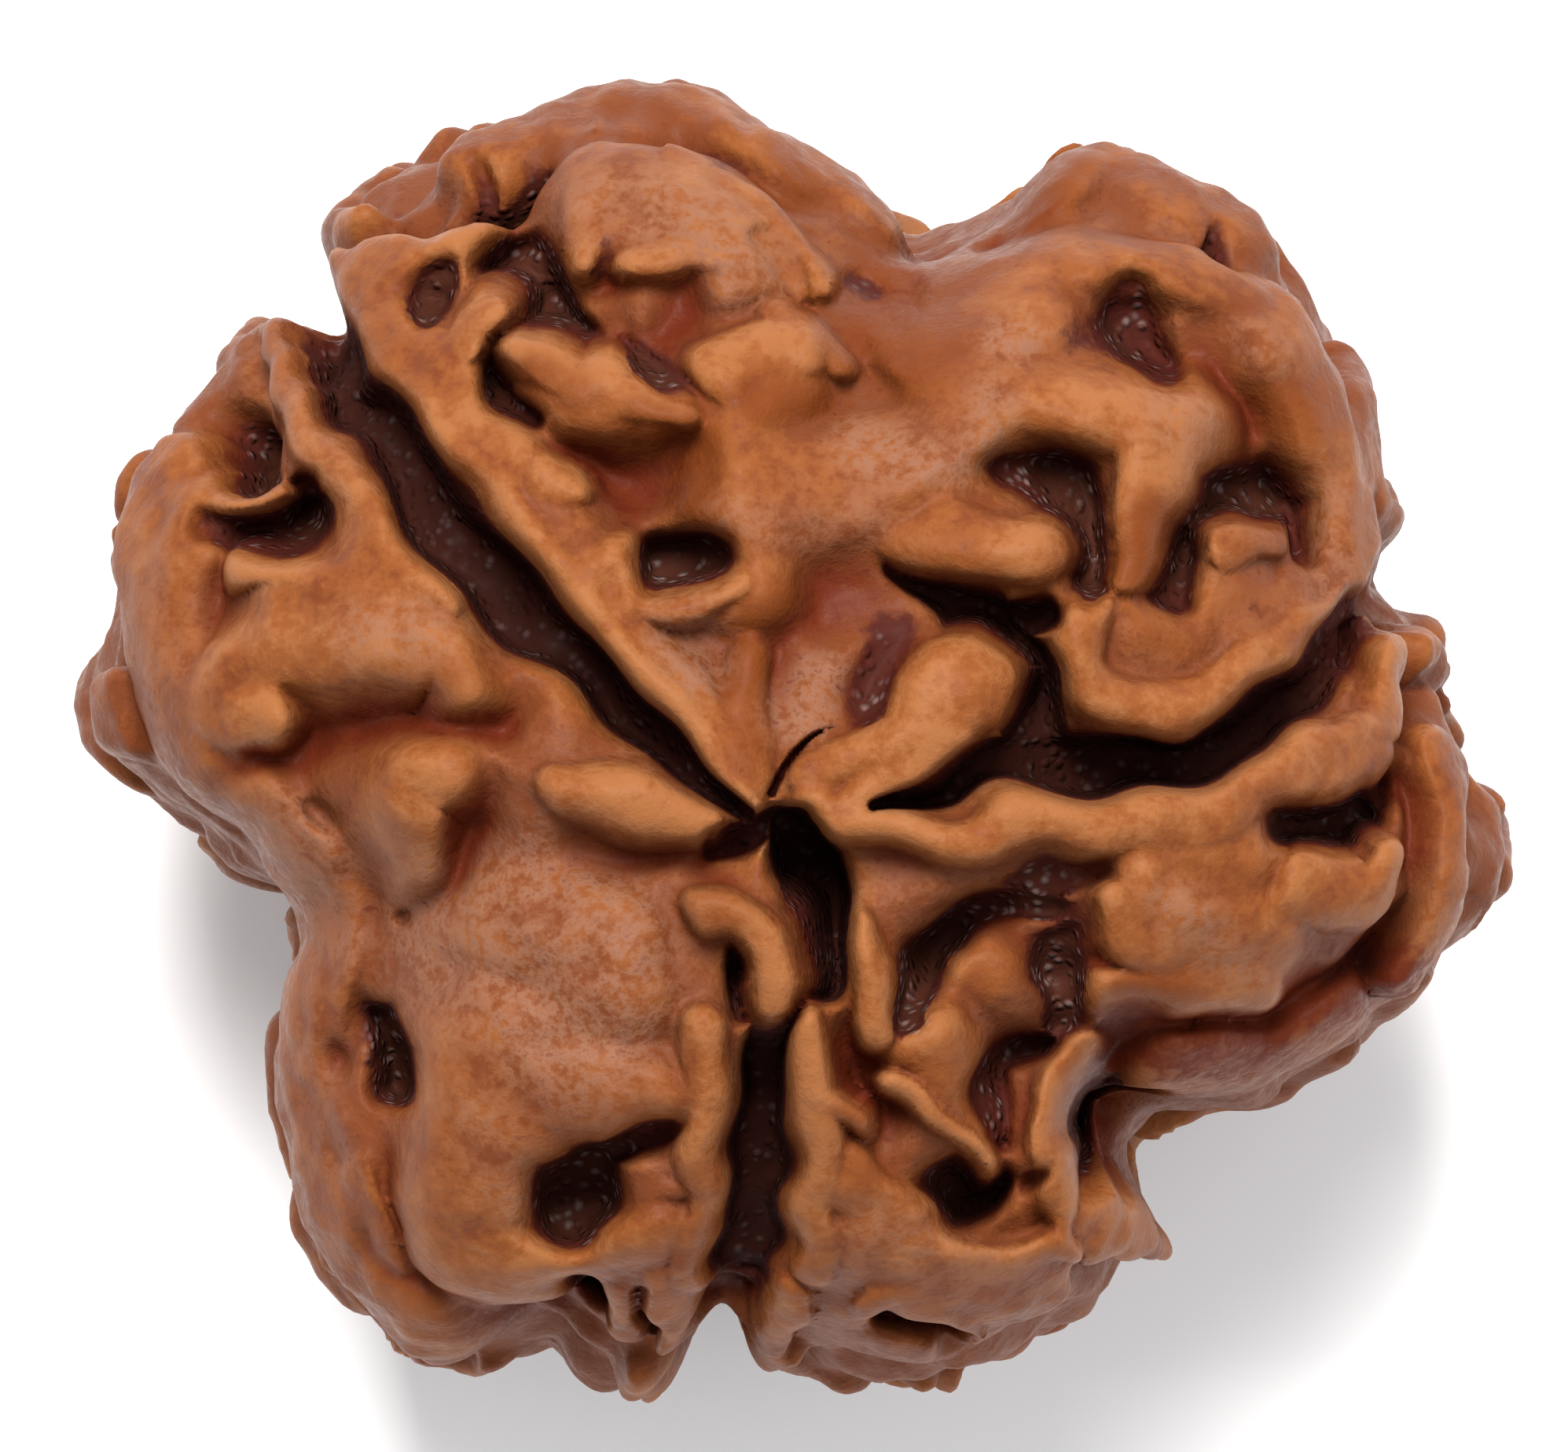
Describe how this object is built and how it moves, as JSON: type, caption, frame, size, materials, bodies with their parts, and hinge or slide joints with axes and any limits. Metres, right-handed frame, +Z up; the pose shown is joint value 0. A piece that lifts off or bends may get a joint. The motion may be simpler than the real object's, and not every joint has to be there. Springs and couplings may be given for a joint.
{
  "type": "three mukhi rudraksha bead",
  "caption": "Dried rudraksha fruit stone with deep clefts from pole to pole, wavy raised ridges and dark pits, lying on one pole; an ornamental prayer bead",
  "frame": {"origin": "middle of the bead's box in plan, on the surface that the bead lies on", "axes": "+Z up, along the bead's axis from its lower pole to its upper pole; +X and +Y as the picture's right and up"},
  "size_m": [0.0218, 0.02, 0.0198],
  "materials": {
    "bead_wood": "oiled and handled, satin on the ridges, matt and dark in the pits"
  },
  "bodies": {
    "root": {"rudraksha_bead": "bead_wood"}
  },
  "joints": []
}
